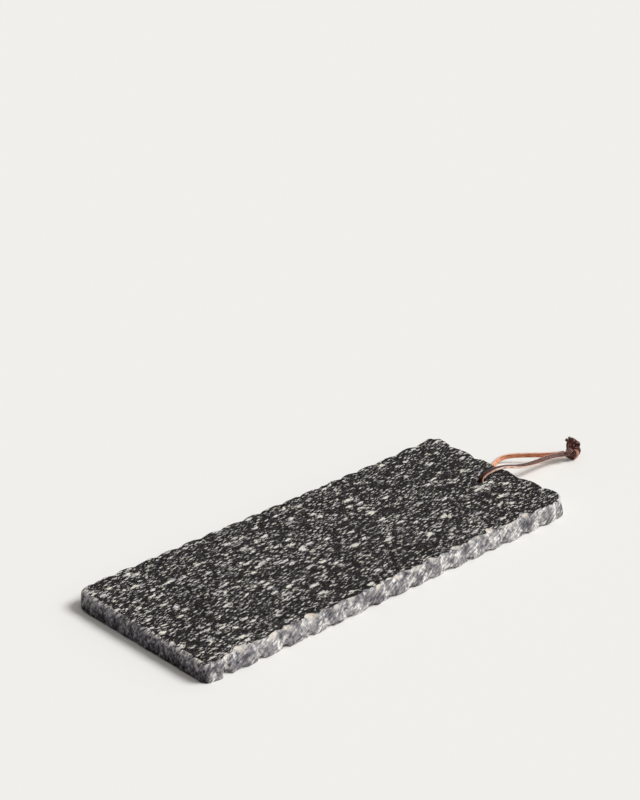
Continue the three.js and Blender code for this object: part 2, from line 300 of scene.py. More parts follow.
# Noises of the granite: features per millimetre, or per cell for a grain's edge, detail and roughness
GRAIN_EDGE_NOISE = (4, 3, 0.6)
GRAIN_TONE_NOISE = (0.2, 2, 0.5)
CROWD_NOISE = (0.05, 2, 0.5)
MOTTLE_NOISE = (0.3, 5, 0.65)
STREAK_NOISE = (0.45, 6, 0.75)
BROKEN_DRIFT_NOISE = (0.08, 2, 0.5)
PATCH_NOISE = (0.22, 4, 0.6)
SHADED_END_DRIFT_NOISE = (0.07, 2, 0.5)
RAGGED_NOISE = (0.4, 4, 0.5)
SPOT_NOISE = (0.14, 4, 0.5)
CREAM_NOISE = (0.3, 3, 0.5)
GRIT_NOISE = (0.55, 6, 0.7)

# How far a noise sways the shades, and by how much of its own swing about its middle
NOISE_SWING = 0.2
RAGGED_SWAY = (0.45, 0.2)
BROKEN_DRIFT = (0.05, 0.15)
SHADED_END_DRIFT = (0.035, 0.15)
PATCH_SWAY = (0.55, 0.1)
GRIT_SWAY = (0.2, 0.5)
# Where marks and spots set in and are full
RAGGED_LIMITS = (0.4, 0.6)
SPOT_LIMITS = (0.48, 0.56)
CRUSHED_LIMITS = (0.5, 0.85)
CRUSHED_SHARE = 0.8
# Painted contact shadow: the near end's mottle darkens toward the table, shifted by the first value at
# the foot and the second at the top
FOOT_SHADE_SLOPE = (-0.15, 0.075)

# Shades of the granite, each from a level of its noise
HONED_SHADES = ((0.34, (5, 5, 8)), (0.48, (22, 20, 19)), (0.58, (40, 37, 37)), (0.7, (88, 84, 90)))
GRAIN_SHADES = (
    (0.32, (170, 168, 172)), (0.45, (216, 213, 208)), (0.58, (234, 230, 222)), (0.7, (224, 223, 200)),
)
BROKEN_SHADES = (
    (0.38, (74, 72, 77)), (0.46, (116, 113, 117)), (0.54, (166, 163, 163)), (0.6, (242, 239, 234)),
)
CHIP_SHADES = ((0.4, (196, 192, 186)), (0.55, (222, 215, 203)), (0.7, (220, 200, 180)))
# Shades of the near end's mottle, kept dark as painted shade
SHADED_END_SHADES = ((0.34, (25, 24, 27)), (0.5, (94, 91, 98)), (0.65, (170, 167, 171)))
CRUSHED_SHADE = (236, 234, 229)

# Leather: streaks along the strip over a mottle, in a dark, a middle and a pale shade
LEATHER_STREAK_SHARE = 0.6
LEATHER_STREAK_PACE = 0.22
LEATHER_STREAK_NOISE = (1, 4, 0.6)
LEATHER_MOTTLE_NOISE = (0.5, 3, 0.5)
FIBRE_NOISE = (2.4, 3, 0.6)
LEATHER_LEVELS = (0.35, 0.5, 0.66)
LEATHER_GLOSS = 0.12
FIBRE_ROUGHNESS = 0.08
FIBRE_STRENGTH = 0.6
EVEN_ALONG = (0, 1, 0)

# Camera, fitted to the stone's edges
CAMERA_PLACE = (-1090.9, -1166.7, 884.2)
CAMERA_AZIMUTH = -42.783
CAMERA_ELEVATION = 25.207
FOCAL_PIXELS = 2400
IMAGE_HEIGHT = 800
SENSOR = 36
VIEW_DISTANCE = 100000

# Light from the right over a pale table
SUN_AZIMUTH = 47
SUN_ELEVATION = 46
SUN_ANGLE = 28
SUN_STRENGTH = 2.68
SUN_TINT = (0.985, 1, 1.02)
AMBIENT_DARK_SIDE = 0.16
AMBIENT_LIGHT_SIDE = 0.62
AMBIENT_TINT = (1.03, 1, 0.965, 1)
PALE = (240, 239, 235)
TABLE_REACH = 20000

# Hand-made unevenness
SCATTER_TURN = 12.9898
SCATTER_SPREAD = 43758.5453

hole = np.array([FAR_END - HOLE_SETBACK, HOLE_OFFSET])
top_edge = FAR_END - SIDE_BATTER - ARRIS_SETBACK
knot_entry = np.array([FAR_END + KNOT_REACH, hole[1] + KNOT_ENTRY_ACROSS, KNOT_ENTRY_HEIGHT])
entry_way = np.array([math.cos(KNOT_ENTRY_HEADING), math.sin(KNOT_ENTRY_HEADING), 0])
entry_side = np.array([-entry_way[1], entry_way[0], 0])
entry_axes = np.stack([entry_way, entry_side, (0, 0, 1)])
ply_offset = (THONG_THICKNESS + STRETCH_GAP) / 2


def linear(*rgb):
    """A colour seen as 0 to 255 in each channel, as the shaders' linear values."""
    shares = [channel / 255 for channel in rgb]
    return *(s / 12.92 if s < 0.04045 else ((s + 0.055) / 1.055) ** 2.4 for s in shares), 1.0


def unit(vectors):
    return vectors / np.linalg.norm(vectors, axis=-1, keepdims=True)


def between(first, second, share):
    return first + (second - first) * share


def smoothstep(value, low, high):
    share = np.clip((value - low) / (high - low), 0, 1)
    return share * share * (3 - 2 * share)


def hump(value, centre, half):
    """A round hump: 1 at its centre, falling to 0 at half its width."""
    return np.clip(1 - ((value - centre) / half) ** 2, 0, 1)


def falling(distance, reach, curve):
    """A share that falls from 1 at an edge to 0 at its reach."""
    return np.clip(1 - distance / reach, 0, 1) ** curve


def uneven(number):
    """A steady value from 0 to 1 for each number. A fraction more gives quite another value."""
    return np.sin(number * SCATTER_TURN) * SCATTER_SPREAD % 1


def drawn(limits, number, rarity=1):
    """A measure between two limits for each number, with large ones as rare as asked."""
    return between(*limits, uneven(number) ** rarity)


def distances(points):
    """How far along a line of points each of them is."""
    return np.concatenate([[0], np.cumsum(np.linalg.norm(np.diff(points, axis=0), axis=1))])


def way_to(azimuth, elevation):
    """The way to something seen so many degrees round from -Y and so many degrees up."""
    turn, rise = math.radians(azimuth), math.radians(elevation)
    return Vector((
        math.sin(turn) * math.cos(rise),
        -math.cos(turn) * math.cos(rise),
        math.sin(rise),
    ))


def make_piece(name, points, faces, materials, face_slots=None):
    """A mesh object of points in millimetres."""
    mesh = bpy.data.meshes.new(name)
    mesh.from_pydata([tuple(point) for point in np.asarray(points) * MM], [], faces)
    for material in materials:
        mesh.materials.append(material)
    if face_slots is not None:
        mesh.polygons.foreach_set("material_index", face_slots)
    mesh.shade_smooth()
    piece = bpy.data.objects.new(name, mesh)
    bpy.context.scene.collection.objects.link(piece)
    return piece


def mark(piece, label, values):
    """Gives each point of a piece a value that its material can read."""
    piece.data.attributes.new(label, "FLOAT", "POINT").data.foreach_set("value", values)


def skin(rings, count):
    """The faces over so many rings of points, with so many points in each, and over both ends."""
    faces = []
    for ring in range(rings - 1):
        for i in range(count):
            here, there = ring * count + i, ring * count + (i + 1) % count
            faces.append((here, there, there + count, here + count))
    ends = [tuple(reversed(range(count))), tuple(range((rings - 1) * count, rings * count))]
    return faces + ends


class Paint:
    """A node material under construction. Each call gives back the socket that the next one takes."""

    def __init__(self, owner):
        self.owner = owner
        owner.use_nodes = True
        self.tree = owner.node_tree

    def node(self, kind, sockets=None, output=0, **settings):
        made = self.tree.nodes.new(kind)
        for key, value in settings.items():
            setattr(made, key, value)
        for key, value in (sockets or {}).items():
            self.plug(made.inputs[key], value)
        return made.outputs[output]

    def plug(self, socket, value):
        if isinstance(value, bpy.types.NodeSocket):
            self.tree.links.new(value, socket)
        else:
            socket.default_value = value

    def place(self, output="Object"):
        return self.node("ShaderNodeTexCoord", output=output)

    def millimetres(self, rotation=(0, 0, 0)):
        """Places on the piece in millimetres, turned."""
        return self.mapped(self.place(), (1 / MM, 1 / MM, 1 / MM), rotation)

    def attribute(self, name):
        return self.node("ShaderNodeAttribute", output="Fac", attribute_name=name)

    def mapped(self, vector, scale=(1, 1, 1), rotation=(0, 0, 0), location=(0, 0, 0)):
        sockets = {"Vector": vector, "Scale": scale, "Rotation": rotation, "Location": location}
        return self.node("ShaderNodeMapping", sockets)

    def noise(self, vector, scale, detail, roughness):
        sockets = {"Vector": vector, "Scale": scale, "Detail": detail, "Roughness": roughness}
        return self.node("ShaderNodeTexNoise", sockets)

    def maths(self, operation, first, second):
        return self.node("ShaderNodeMath", {0: first, 1: second}, operation=operation)

    def add(self, first, second):
        return self.maths("ADD", first, second)

    def times(self, first, second):
        return self.maths("MULTIPLY", first, second)

    def weighed(self, first, second, share):
        """Two patterns in one: the first by its share and the second by the rest."""
        return self.add(self.times(first, share), self.times(second, 1 - share))

    def span(self, value, low, high, start=0, end=1):
        sockets = {"Value": value, "From Min": low, "From Max": high, "To Min": start, "To Max": end}
        return self.node("ShaderNodeMapRange", sockets)

    def sway(self, value, reach, swing=NOISE_SWING):
        """A noise's swing either side of its middle, brought to a reach either side of zero."""
        return self.span(value, 0.5 - swing, 0.5 + swing, -reach, reach)

    def ramp(self, value, stops):
        colour = self.node("ShaderNodeValToRGB", {"Fac": value})
        elements = colour.node.color_ramp.elements
        for _ in stops[2:]:
            elements.new(1)
        for element, (position, shade) in zip(elements, stops):
            element.position = position
            element.color = linear(*shade)
        return colour

    def grains(self, vector, scale, size, share, crowd):
        """Single lumps in a share of the cells of a scattered grid, more of them where they crowd.

        A lump's size is in cells.
        """
        distance = self.node("ShaderNodeTexVoronoi", {"Vector": vector, "Scale": scale})
        finer, detail, roughness = GRAIN_EDGE_NOISE
        wobble = self.sway(self.noise(vector, finer * scale, detail, roughness), GRAIN_WOBBLE * size)
        lump = self.span(self.add(distance, wobble), size, GRAIN_CORE * size)
        chance = self.add(distance.node.outputs["Color"], crowd)
        limit = 1 - share
        chosen = self.span(chance, limit - GRAIN_CHANCE_EDGE, limit + GRAIN_CHANCE_EDGE)
        return self.times(lump, chosen)

    def mix(self, share, first, second):
        return self.node("ShaderNodeMixRGB", {"Fac": share, "Color1": first, "Color2": second})

    def bump(self, height, distance, strength):
        sockets = {"Height": height, "Distance": distance, "Strength": strength}
        return self.node("ShaderNodeBump", sockets)

    def shade(self, **sockets):
        shader = self.tree.nodes["Principled BSDF"]
        for key, value in sockets.items():
            self.plug(shader.inputs[key.replace("_", " ").title().replace("Ior", "IOR")], value)
        return self.owner


# Granite

def laid_level(paint, across):
    """Places in millimetres, turned so that layers across a direction lie level."""
    return paint.millimetres(across.rotation_difference(Vector((0, 0, 1))).to_euler())


def flattened(paint, level, flatness, spread=1):
    """Places for a pattern that is flattened in level layers and spread along them."""
    return paint.mapped(level, (spread, spread, flatness), GRID_TILT, GRID_SHIFT)


def honed_stone(paint, upright):
    """Dark stone full of pale flattened grains of several sizes, crowded where it is bruised."""
    even = flattened(paint, upright, 1)
    crowd = paint.sway(paint.noise(even, *CROWD_NOISE), GRAIN_CROWDING)
    crowd = paint.add(crowd, paint.times(paint.attribute("bruised"), BRUISE_CROWDING))
    mottle = paint.noise(flattened(paint, upright, HONED_FLATNESS), *MOTTLE_NOISE)
    colour = paint.ramp(mottle, HONED_SHADES)
    pale = paint.ramp(paint.noise(even, *GRAIN_TONE_NOISE), GRAIN_SHADES)
    for scale, flatness, size, share, strength in GRAINS:
        lumps = paint.grains(flattened(paint, upright, flatness), scale, size, share, crowd)
        colour = paint.mix(paint.times(lumps, strength), colour, pale)
    return colour


def broken_stone(paint, upright):
    """Bruised pale stone with light streaks, white where it is crushed."""
    layers = laid_level(paint, STREAK_LAYERS)
    even = flattened(paint, layers, 1)
    streaks = paint.noise(flattened(paint, layers, STREAK_FLATNESS, STREAK_SPREAD), *STREAK_NOISE)
    shade = paint.weighed(streaks, paint.noise(even, *MOTTLE_NOISE), STREAK_SHARE)
    shade = paint.add(shade, paint.sway(paint.noise(even, *BROKEN_DRIFT_NOISE), *BROKEN_DRIFT))
    patch = paint.sway(paint.noise(upright, *PATCH_NOISE), *PATCH_SWAY)
    patchy = paint.add(paint.attribute("crushed"), patch)
    crushed = paint.span(patchy, *CRUSHED_LIMITS, 0, CRUSHED_SHARE)
    return paint.mix(crushed, paint.ramp(shade, BROKEN_SHADES), linear(*CRUSHED_SHADE))


def shaded_end_stone(paint, upright):
    """Near end's own mottle, darkened as painted shade of the face turned from the sun and as painted
    contact shadow toward the table.
    """
    mottle = paint.noise(flattened(paint, upright, SHADED_END_FLATNESS), *MOTTLE_NOISE)
    drift = paint.noise(flattened(paint, upright, 1), *SHADED_END_DRIFT_NOISE)
    height = paint.node("ShaderNodeSeparateXYZ", {"Vector": paint.place()}, output="Z")
    shade = paint.add(mottle, paint.sway(drift, *SHADED_END_DRIFT))
    # Painted contact shadow, darker toward the table
    shade = paint.add(shade, paint.span(height, 0, THICKNESS * MM, *FOOT_SHADE_SLOPE))
    return paint.ramp(shade, SHADED_END_SHADES)


def granite():
    """Honed on top, broken along the sides, cream where it is chipped, with painted shade darkening
    the near end.
    """
    paint = Paint(bpy.data.materials.new("granite"))
    upright = laid_level(paint, FOLIATION)
    broken = paint.attribute("broken")
    ragged = paint.add(broken, paint.sway(paint.noise(upright, *RAGGED_NOISE), *RAGGED_SWAY))
    on_side = paint.span(ragged, *RAGGED_LIMITS)
    colour = paint.mix(on_side, honed_stone(paint, upright), broken_stone(paint, upright))
    spots = paint.span(paint.noise(upright, *SPOT_NOISE), *SPOT_LIMITS)
    cream = paint.ramp(paint.noise(upright, *CREAM_NOISE), CHIP_SHADES)
    colour = paint.mix(paint.times(paint.attribute("chipped"), spots), colour, cream)
    # The near end takes its darker mottle here: painted shade
    colour = paint.mix(paint.attribute("end_shade"), colour, shaded_end_stone(paint, upright))

    grit = paint.noise(upright, *GRIT_NOISE)
    pits = paint.times(grit, paint.span(broken, 0, 1, HONED_PITS, 1))
    rough = paint.add(broken, paint.sway(grit, *GRIT_SWAY))
    return paint.shade(
        base_color=colour,
        roughness=paint.span(rough, 0, 1, *GRANITE_ROUGHNESS),
        specular_ior_level=GRANITE_GLOSS,
        normal=paint.bump(pits, PIT_DEPTH * MM, PIT_STRENGTH),
    )


# Leather

def leather(name, shades, roughness, streak, grain, tone_along=EVEN_ALONG, gloss=LEATHER_GLOSS):
    """Leather with streaks along the strip and a fine grain.

    It grows darker or paler from one distance along the strip to another, by so much either way; on
    the strands' outside and edges this paints light and shade along them.
    """
    paint = Paint(bpy.data.materials.new(name))
    upright = paint.millimetres()
    along, around = paint.attribute("along"), paint.attribute("around")
    on_strip = paint.node("ShaderNodeCombineXYZ", {"X": along, "Y": around})
    drawn_out = paint.mapped(on_strip, (LEATHER_STREAK_PACE, streak, 1))
    streaks = paint.noise(drawn_out, *LEATHER_STREAK_NOISE)
    mottle = paint.noise(upright, *LEATHER_MOTTLE_NOISE)
    shade = paint.weighed(streaks, mottle, LEATHER_STREAK_SHARE)
    tone_from, tone_to, change = tone_along
    shade = paint.add(shade, paint.span(along, tone_from, tone_to, -change, change))
    fibre = paint.noise(upright, *FIBRE_NOISE)
    return paint.shade(
        base_color=paint.ramp(shade, tuple(zip(LEATHER_LEVELS, shades))),
        roughness=paint.add(paint.sway(fibre, FIBRE_ROUGHNESS), roughness),
        specular_ior_level=gloss,
        normal=paint.bump(fibre, grain * MM, FIBRE_STRENGTH),
    )


def thong_leathers():
    """The dyed outside, the bare inside and the cut edges of the strands."""
    return [
        # Dyed outside: darker over the stone and into the hole, as painted shade, and paler past the
        # stone, as a painted sheen
        leather(
            "thong_outside", ((40, 21, 17), (74, 46, 41), (116, 86, 80)),
            roughness=0.46, streak=1.4, grain=0.2, tone_along=(10, 60, 0.09),
        ),
        leather(
            "thong_inside", ((158, 88, 62), (204, 134, 100), (230, 170, 136)),
            roughness=0.7, streak=0.9, grain=0.3, tone_along=(45, 105, -0.1),
        ),
        # Cut edge: paler past the stone, painted light where the edge faces the sun
        leather(
            "thong_edge", ((116, 66, 50), (208, 156, 134), (240, 216, 203)),
            roughness=0.7, streak=0.5, grain=0.3, tone_along=(-30, 50, 0.16),
        ),
    ]


def knot_leathers():
    """The same leather in the knot: darker and a little smoother, its outside streaked from near black
    to pale as painted shade and painted highlights along the wraps.
    """
    return [
        # Streaks from near black to pale: painted shade and painted highlights of the wraps
        leather(
            "knot_outside", ((24, 9, 7), (60, 31, 26), (156, 118, 109)),
            roughness=0.42, streak=1.4, grain=0.2, gloss=0.06,
        ),
        leather(
            "knot_inside", ((140, 88, 75), (200, 145, 128), (222, 174, 158)),
            roughness=0.6, streak=0.9, grain=0.3,
        ),
        leather(
            "knot_edge", ((66, 40, 35), (124, 88, 78), (166, 128, 116)),
            roughness=0.6, streak=0.5, grain=0.3,
        ),
    ]


# Camera

def add_camera():
    data = bpy.data.cameras.new("camera")
    data.sensor_width = SENSOR
    data.lens = FOCAL_PIXELS * SENSOR / IMAGE_HEIGHT
    data.clip_end = VIEW_DISTANCE * MM
    camera = bpy.data.objects.new("camera", data)
    camera.location = Vector(CAMERA_PLACE) * MM
    back = way_to(CAMERA_AZIMUTH, CAMERA_ELEVATION)
    camera.rotation_euler = (-back).to_track_quat("-Z", "Y").to_euler()
    bpy.context.scene.collection.objects.link(camera)
    bpy.context.scene.camera = camera


# Thong, on the same route as in the solids

def smooth_curve(points):
    """A centripetal curve through the points, and how many points have been passed at each step."""
    points = np.asarray(points, float)
    padded = np.vstack([2 * points[0] - points[1], points, 2 * points[-1] - points[-2]])
    steps = np.arange(SPAN_STEPS)[:, None] / SPAN_STEPS
    spans = []
    for p0, p1, p2, p3 in zip(padded, padded[1:], padded[2:], padded[3:]):
        d0, d1, d2 = (math.sqrt(np.linalg.norm(b - a)) for a, b in ((p0, p1), (p1, p2), (p2, p3)))
        leave = d1 * ((p1 - p0) / d0 - (p2 - p0) / (d0 + d1) + (p2 - p1) / d1)
        arrive = d1 * ((p2 - p1) / d1 - (p3 - p1) / (d1 + d2) + (p3 - p2) / d2)
        bend, ease = 3 * (p2 - p1) - 2 * leave - arrive, 2 * (p1 - p2) + leave + arrive
        spans.append(p1 + steps * (leave + steps * (bend + steps * ease)))
    passed = np.arange(SPAN_STEPS * (len(points) - 1) + 1) / SPAN_STEPS
    return np.vstack([*spans, points[-1:]]), passed


def beside_knot(side, distance):
    """A point of one strand beside the other, a distance short of the knot, and its roll."""
    point = knot_entry - distance * entry_way + side * ply_offset * entry_side
    return [*point, -KNOT_ENTRY_ROLL if side > 0 else KNOT_TUCK_ROLL]


def bight_route():
    """The thong's points and rolls under the stone up into the hole, and from there over the stone."""
    wall = math.sqrt((HOLE_DIAMETER / 2) ** 2 - (THONG_WIDTH / 2) ** 2)
    reach = wall - HOLE_CLEARANCE - THONG_THICKNESS / 2
    seat_x = hole[0] + reach * math.cos(CHANNEL_HEADING / 2)
    seat_y = hole[1] + reach * math.sin(CHANNEL_HEADING / 2)
    low = TABLE_CLEARANCE + THONG_THICKNESS / 2
    over = THICKNESS + THONG_THICKNESS / 2

    def in_channel(distance, height, roll=0):
        x = seat_x + distance * math.cos(CHANNEL_HEADING)
        return [x, seat_y + distance * math.sin(CHANNEL_HEADING), height, roll]

    exit_run = (FAR_END + ARRIS_SETBACK - seat_x) / math.cos(CHANNEL_HEADING)
    knee = BEND_RADIUS * (1 - math.sqrt(0.5))
    under_stone = [
        in_channel(exit_run, low, CHANNEL_EXIT_ROLL),
        in_channel((exit_run + BEND_RADIUS) / 2, low),
        in_channel(BEND_RADIUS, low),
        in_channel(knee, low + knee),
        in_channel(0, low + BEND_RADIUS),
    ]
    over_stone = [[seat_x, seat_y, THICKNESS - BIGHT_TOP_DROP, 0]]
    over_stone += [[seat_x + x, seat_y + y, over + above, roll] for x, y, above, roll in BIGHT_POINTS]
    across, above, roll = BIGHT_EDGE
    over_stone.append([top_edge, seat_y + across, over + above, roll])
    return under_stone, over_stone


def thong_route():
    """The thong's points and rolls, from the knot through the hole and to the knot again.

    With them comes the number of the point in the middle of the hole.
    """
    near_knot = (0, KNOT_ENTRY_STRAIGHT / 2, KNOT_ENTRY_STRAIGHT)
    lower = [beside_knot(1, distance) for distance in near_knot]
    lower += [[FAR_END + x, hole[1] + y, z, roll] for x, y, z, roll in LOWER_POINTS]
    under_stone, over_stone = bight_route()
    upper = []
    for x, y, above, roll in UPPER_POINTS:
        slope = THICKNESS * (1 - x / KNOT_REACH)
        upper.append([FAR_END + x, hole[1] + y, slope + above, roll])
    upper += [beside_knot(-1, distance) for distance in reversed(near_knot)]
    upper += [[*point, KNOT_TUCK_ROLL] for point in knot_entry + np.array(KNOT_TUCK) @ entry_axes]
    middle = len(lower) + len(under_stone) - 1
    return np.array(lower + under_stone + over_stone + upper), middle


def level_sides(points, rolls):
    """The strip's width directions: level, apart from a roll about the route."""
    ways = unit(np.gradient(points, axis=0))
    across = np.array([0.0, 1.0, 0.0])
    level = unit(across - ways * ways[:, 1:2])
    return level * np.cos(rolls)[:, None] + np.cross(ways, level) * np.sin(rolls)[:, None]


def strip_section(width, thickness):
    """A flat section with round corners: its points across and out, and the side of each edge."""
    corner = STRIP_ROUNDING * thickness
    points, slots = [], []
    for turn, (sign_u, sign_v) in enumerate(((1, 1), (-1, 1), (-1, -1), (1, -1))):
        for step in range(CORNER_POINTS):
            angle = math.pi / 2 * (turn + step / (CORNER_POINTS - 1))
            u = sign_u * (width / 2 - corner) + corner * math.cos(angle)
            v = sign_v * (thickness / 2 - corner) + corner * math.sin(angle)
            points.append((u, v))
            turned = (turn + (step + 0.5) / (CORNER_POINTS - 1)) % 4
            quarter = math.floor(turned - FACE_START)
            slots.append({0: OUTSIDE, 2: INSIDE}.get(quarter, EDGE))
    return np.array(points), slots


def band_section(width, thickness):
    """Two strips pressed side by side: round on both faces, with a groove along the middle of each."""
    angles = np.arange(BAND_POINTS) * 2 * math.pi / BAND_POINTS
    across, out = np.cos(angles), np.sin(angles)
    groove = BAND_GROOVE * np.exp(-((across / BAND_GROOVE_HALF) ** 2))
    u = np.sign(across) * np.abs(across) ** BAND_SIDE_CURVE * width
    v = np.sign(out) * np.abs(out) ** BAND_FACE_CURVE * (1 - groove) * thickness
    return np.column_stack([u, v]) / 2, [OUTSIDE] * BAND_POINTS


def strip(name, points, sides, section, materials, stray=THONG_STRAY, spread=1, plump=1, patches=()):
    """Leather along the points: a section of points across and out is drawn along them.

    At each point the spread widens it and plump thickens it. A patch of some steps and some of the
    section's points has a material slot of its own.
    """
    spread, plump = (np.ones(len(points)) * share for share in (spread, plump))
    ways = unit(np.gradient(points, axis=0))
    outs = np.cross(ways, sides)
    shape, slots = section
    along = distances(points)
    verts = []
    for distance, point, side, out, wide, thick in zip(along, points, sides, outs, spread, plump):
        wander = noise.noise(Vector((distance * STRAY_PACE, len(points), STRAY_SEED)))
        swell = wide * (1 + stray * wander)
        verts += [point + side * u * swell + out * v * thick / math.sqrt(swell) for u, v in shape]
    verts = np.array(verts)
    verts[:, 2] = np.maximum(verts[:, 2], TABLE_CLEARANCE / 2)
    face_slots = np.array([slots] * (len(points) - 1))
    for on_steps, on_section, slot in patches:
        face_slots[np.ix_(on_steps[:-1], on_section)] = slot
    face_slots = np.append(face_slots, [EDGE, EDGE])
    piece = make_piece(name, verts, skin(len(points), len(shape)), materials, face_slots)
    mark(piece, "along", np.repeat(along, len(shape)))
    mark(piece, "around", np.tile(distances(shape), len(points)))
    return piece


def add_thong():
    """Both strands, from the middle of the hole to the knot, and the knot with its tails."""
    route, middle = thong_route()
    curve, passed = smooth_curve(route[:, :3])
    rolls = np.radians(np.interp(passed, np.arange(len(route)), route[:, 3]))
    sides = level_sides(curve, rolls)
    split = middle * SPAN_STEPS
    materials = thong_leathers()
    section = strip_section(THONG_WIDTH, THONG_THICKNESS)
    lower = strip("leather_lower_strand", curve[split::-1], -sides[split::-1], section, materials)
    upper = strip("leather_upper_strand", curve[split:], sides[split:], section, materials)
    knot, tails = add_knot()
    for piece, path, nodes, on_it, bend in (
        (lower, curve[split::-1], ["lower_strand"], [], LOWER_BEND),
        (upper, curve[split:], ["upper_strand", "thong_bight"], [knot, *tails], UPPER_BEND),
    ):
        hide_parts(*nodes)
        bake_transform(piece)


def knot_path():
    """The knot's middle line as in the solids, the way its band faces and the angle turned."""
    core = (KNOT_CORD + KNOT_GAP) / 2
    angles = np.linspace(KNOT_FIRST_ANGLE, KNOT_LAST_ANGLE, KNOT_POINTS)[:, None]
    spoke = np.hstack([-np.cos(angles), 0 * angles, -np.sin(angles)])
    twist = KNOT_TWIST * angles
    outs = spoke * np.cos(twist) + np.array([0, -1, 0]) * np.sin(twist)
    turns = (spoke * (KNOT_EYE + core) + core * outs) * (1, 1, KNOT_STRETCH)
    points = (turns + (KNOT_LEAD, KNOT_SHIFT, 0)) @ entry_axes + knot_entry * (1, 1, 0)
    points[:, 2] += TABLE_CLEARANCE + KNOT_CORD / 2 - points[:, 2].min()
    throat = knot_entry + entry_way * KNOT_CORD / 2
    last = points[-1] + unit(points[-1] - points[-2]) * KNOT_EXIT_RUN
    rise = unit(np.array(KNOT_EXIT_WAY) @ entry_axes) * KNOT_CORD
    whole = np.vstack([knot_entry, throat, points, last, last + rise / 2, last + rise])
    curve, passed = smooth_curve(whole)
    turned = np.interp(passed, 2 + np.arange(KNOT_POINTS), angles[:, 0])
    outs = np.stack([np.interp(turned, angles[:, 0], column) for column in (outs @ entry_axes).T], 1)
    return curve, outs, turned


def add_knot():
    """The knot, a band of both strands pressed together, and the two cut tails."""
    curve, outs, turned = knot_path()
    ways = unit(np.gradient(curve, axis=0))
    outs = unit(outs - ways * np.sum(ways * outs, axis=1, keepdims=True))
    sides = np.cross(outs, ways)
    materials = knot_leathers()
    spread = 1 + KNOT_BAND_SPREAD * hump(turned, KNOT_CAP, KNOT_CAP_REACH)
    plump = np.clip(1 - KNOT_PLUMPNESS * np.cos(KNOT_TWIST * turned), KNOT_THINNEST, None)
    section = band_section(KNOT_BAND, KNOT_BAND_THICKNESS)
    across = section[0][:, 0]
    bare_from, bare_to = KNOT_BARE
    bare = (turned > bare_from) & (turned < bare_to)
    patches = [(bare, across > KNOT_BARE_FROM, INSIDE)]
    knot = strip("leather_knot", curve, sides, section, materials, KNOT_STRAY, spread, plump, patches)
    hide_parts("overhand_knot")
    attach(knot, "loop")
    return knot, add_tails(curve[-1], ways[-1], outs[-1], sides[-1], materials)


def add_tails(end, way, out, side, materials):
    """The two cut tails where the knot ends, splayed a little and dark on both faces."""
    dark_materials = [materials[OUTSIDE], materials[OUTSIDE], materials[EDGE]]
    section = strip_section(THONG_WIDTH, TAIL_THICKNESS)
    sides = np.repeat(side[None], TAIL_POINTS, 0)
    steps = np.linspace(-TAIL_TUCK, 1, TAIL_POINTS)[:, None]
    tails = []
    for name, node, sign in (
        ("leather_near_tail", "near_tail", -1),
        ("leather_far_tail", "far_tail", 1),
    ):
        root = end + out * sign * ply_offset * TAIL_SPACING
        path = root + steps * (way + TAIL_SPLAY * sign * out) * TAIL_LENGTH
        tail = strip(name, path, sides, section, dark_materials)
        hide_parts(node)
        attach(tail, "loop")
        tails.append(tail)
    return tails


# Stone slab

def slab_outline():
    """The stone's outline from above, counter-clockwise: distance, place and outward normal."""
    x, y = LENGTH / 2, WIDTH / 2
    plain, worn = CORNER_RADIUS, WORN_CORNER_RADIUS
    places, normals = [(x, worn - y)], [(1, 0)]
    corners = [(x - plain, y - plain, plain), (worn - x, y - worn, worn)]
    corners += [(-cx, -cy, radius) for cx, cy, radius in corners]
    for turn, (cx, cy, radius) in enumerate(corners):
        for angle in (turn + np.linspace(0, 1, CORNER_STEPS)) * math.pi / 2:
            normals.append((math.cos(angle), math.sin(angle)))
            places.append((cx + radius * normals[-1][0], cy + radius * normals[-1][1]))
    places, normals = np.array(places), np.array(normals)
    return distances(places), places, normals


def slab_columns():
    """The chiselled edge in columns: place, normal, flute number, how far along it and notch share."""
    distance, places, normals = slab_outline()
    around = distance[-1]
    flutes = round(around / FLUTE_PITCH)
    flute = np.repeat(np.arange(flutes), FLUTE_COLUMNS)
    along = np.tile(np.arange(FLUTE_COLUMNS) / FLUTE_COLUMNS, flutes)

    shifts, shares = np.zeros(flutes), np.ones(flutes)
    for number, by_hand in FAR_NOTCHES.items():
        shifts[number], shares[number] = by_hand

    def notch_at(number):
        stray = FLUTE_STRAY * (uneven(number % flutes) - 0.5)
        return FLUTE_START + around * (number + stray) / flutes + shifts[number % flutes]

    at = between(notch_at(flute), notch_at(flute + 1), along) % around
    place = np.stack([np.interp(at, distance, column) for column in places.T], 1)
    normal = np.stack([np.interp(at, distance, column) for column in normals.T], 1)
    share = between(shares[flute], shares[(flute + 1) % flutes], along)
    return place, unit(normal), flute, along, share


def straightness(normal):
    """1 along the straight sides, falling to 0 in the middle of each corner."""
    return 1 - 4 * (normal[:, 0] * normal[:, 1]) ** 2


def side_batter(place, normal, near_end):
    """How far the sides lean in at the top."""
    batter = between(SIDE_BATTER, NEAR_END_BATTER, near_end)
    from_corner = np.hypot(place[:, 0] - LENGTH / 2, np.abs(place[:, 1]) - WIDTH / 2)
    far_corner = 1 - smoothstep(from_corner, *FAR_CORNER_REACH)
    rounding = FAR_CORNER_ROUNDING * (1 - straightness(normal))
    return batter + far_corner * (rounding - FAR_CORNER_FILL * batter)


